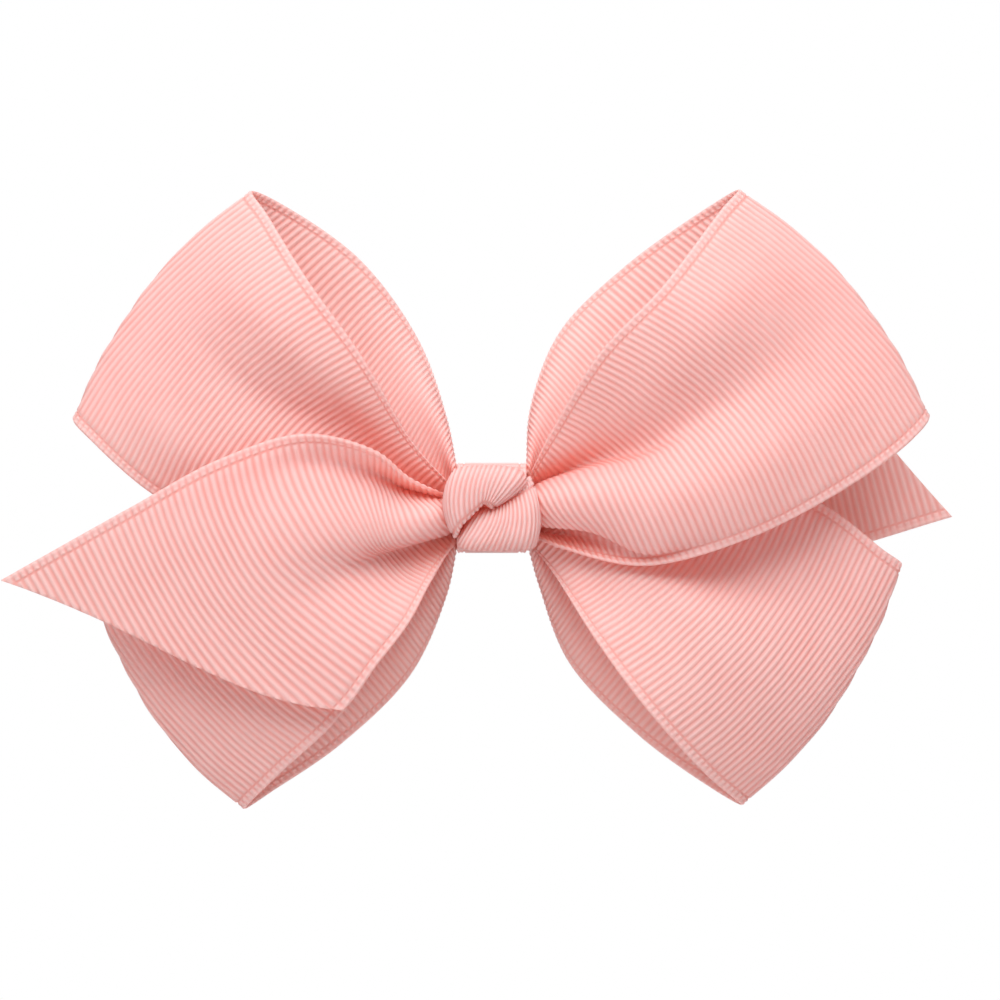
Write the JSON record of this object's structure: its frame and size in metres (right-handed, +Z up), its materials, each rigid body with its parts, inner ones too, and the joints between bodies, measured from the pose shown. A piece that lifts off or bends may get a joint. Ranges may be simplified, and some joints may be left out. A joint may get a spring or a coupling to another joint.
{
  "type": "hair bow",
  "caption": "Pink grosgrain ribbon hair bow with open loops, cut tails and a knotted centre, on a sprung steel alligator clip.",
  "frame": {"origin": "in the middle of the bow's width at the knot, at the lined face of the clip's flat arm, where the hair is gripped", "axes": "+X to the right of the bow as it is looked at, +Y from the bow's face to the hair side, +Z up"},
  "size_m": [0.1267, 0.0305, 0.0826],
  "materials": {
    "bow_ribbon": "38 mm light coral pink polyester grosgrain, soft sheen, fine cross ribs and woven selvages",
    "knot_ribbon": "9.5 mm light coral pink polyester grosgrain, finer ribs",
    "thread": "matching twisted polyester sewing thread",
    "hot_melt_glue": "set hot-melt glue, cloudy and smooth",
    "clip_steel": "nickel-plated pressed steel, satin",
    "spring_steel": "bright drawn spring wire"
  },
  "bodies": {
    "bow": {"upper_right_loop": "bow_ribbon", "upper_left_loop": "bow_ribbon", "lower_right_loop": "bow_ribbon", "lower_left_loop": "bow_ribbon", "left_tail": "bow_ribbon", "right_tail": "bow_ribbon", "gathered_centre": "bow_ribbon", "binding_thread": "thread", "knot_strap": "knot_ribbon", "knot_upper_turn": "knot_ribbon", "knot_lower_turn": "knot_ribbon", "glue_pad": "hot_melt_glue", "clip_flat_arm": "clip_steel", "clip_lining": "knot_ribbon", "clip_pivot_pin": "clip_steel", "clip_spring": "spring_steel"},
    "jaw": {"clip_toothed_arm": "clip_steel"}
  },
  "joints": [
    {"name": "clip_hinge", "type": "hinge", "parent": "bow", "child": "jaw", "pos_m": [0.01, 0.0022, 0], "axis": [0, 0, -1], "range_deg": [0, 30], "stiffness_Nm_per_rad": 0.06, "springref_deg": -28.65, "deforming": ["clip_spring"]}
  ]
}
